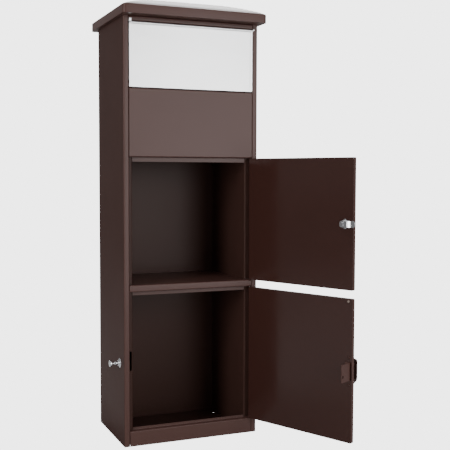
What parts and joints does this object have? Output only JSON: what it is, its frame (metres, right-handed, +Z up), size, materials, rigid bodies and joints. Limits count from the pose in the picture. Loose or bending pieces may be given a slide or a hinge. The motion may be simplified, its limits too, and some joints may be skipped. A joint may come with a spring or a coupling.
{
  "type": "parcel drop box",
  "caption": "Free-standing steel parcel and mail drop box: hinged drop flap on top, mail door with cam lock, parcel door with handle and side push lock.",
  "frame": {"origin": "centre of the cabinet's footprint on the ground", "axes": "+Z up, -Y out of the front, hinges of both doors on the +X side"},
  "size_m": [0.5838, 0.6518, 1.254],
  "materials": {
    "brown_powder_coat": "semi-gloss powder coat",
    "dark_brown_enamel": "gloss enamel",
    "stainless_flap": "fine brushed",
    "chrome_lock": "polished",
    "zinc_hardware": "zinc plated",
    "grey_rubber": "matt"
  },
  "bodies": {
    "cabinet": {"left_side_panel": "brown_powder_coat", "right_side_panel": "brown_powder_coat", "left_liner": "brown_powder_coat", "right_liner": "brown_powder_coat", "back_panel": "brown_powder_coat", "base_plate": "zinc_hardware", "kick_plate": "brown_powder_coat", "mid_shelf": "brown_powder_coat", "front_panel": "brown_powder_coat", "top_panel": "brown_powder_coat", "roof_cap": "brown_powder_coat", "roof_bolt_1": "zinc_hardware", "roof_bolt_2": "zinc_hardware", "roof_bolt_3": "zinc_hardware", "roof_bolt_4": "zinc_hardware", "roof_nut_1": "zinc_hardware", "roof_nut_2": "zinc_hardware", "roof_nut_3": "zinc_hardware", "roof_nut_4": "zinc_hardware", "strike_plate": "zinc_hardware", "strike_rivet_lower": "zinc_hardware", "strike_rivet_upper": "zinc_hardware", "plunger_housing": "chrome_lock", "plunger_nut": "zinc_hardware", "flap_spring_left": "zinc_hardware", "flap_spring_right": "zinc_hardware", "upper_door_hinge_fixed_leaf": "brown_powder_coat", "lower_door_hinge_fixed_leaf": "brown_powder_coat"},
    "upper_door": {"upper_door_skin": "brown_powder_coat", "upper_door_liner": "dark_brown_enamel", "upper_door_hinge_moving_leaf": "brown_powder_coat", "upper_door_hinge_pin": "zinc_hardware", "lock_barrel": "chrome_lock", "lock_nut": "zinc_hardware"},
    "upper_cam": {"lock_plug": "chrome_lock", "lock_cam": "zinc_hardware", "cam_screw": "zinc_hardware"},
    "lower_door": {"lower_door_skin": "brown_powder_coat", "lower_door_liner": "dark_brown_enamel", "lower_door_hinge_moving_leaf": "brown_powder_coat", "lower_door_hinge_pin": "zinc_hardware", "handle": "dark_brown_enamel", "handle_screw_lower": "zinc_hardware", "handle_screw_upper": "zinc_hardware", "tongue": "brown_powder_coat", "bumper": "grey_rubber"},
    "drop_flap": {"flap_face": "stainless_flap", "flap_knuckle": "stainless_flap", "flap_pin": "zinc_hardware", "flap_tray": "stainless_flap", "flap_cheek_left": "stainless_flap", "flap_cheek_right": "stainless_flap"},
    "side_plunger": {"plunger_knob": "chrome_lock", "plunger_bolt": "chrome_lock"}
  },
  "joints": [
    {"name": "upper_door_hinge", "type": "hinge", "parent": "cabinet", "child": "upper_door", "pos_m": [0.1805, -0.1314, 0.629], "axis": [0, 0, 1], "range_deg": [-115, 0]},
    {"name": "upper_cam_turn", "type": "hinge", "parent": "upper_door", "child": "upper_cam", "pos_m": [0.32356, -0.43818, 0.629], "axis": [-0.9063, -0.4226, 0], "range_deg": [0, 90]},
    {"name": "lower_door_hinge", "type": "hinge", "parent": "cabinet", "child": "lower_door", "pos_m": [0.1805, -0.1314, 0.238], "axis": [0, 0, 1], "range_deg": [-115, 0]},
    {"name": "flap_hinge", "type": "hinge", "parent": "cabinet", "child": "drop_flap", "pos_m": [0, -0.1282, 1.003], "axis": [1, 0, 0], "range_deg": [0, 45], "stiffness_Nm_per_rad": 0.8, "springref_deg": -17.19},
    {"name": "plunger_slide", "type": "slide", "parent": "cabinet", "child": "side_plunger", "axis": [1, 0, 0], "range_m": [0, 0.01], "stiffness_N_per_m": 300, "springref_m": -0.004}
  ]
}
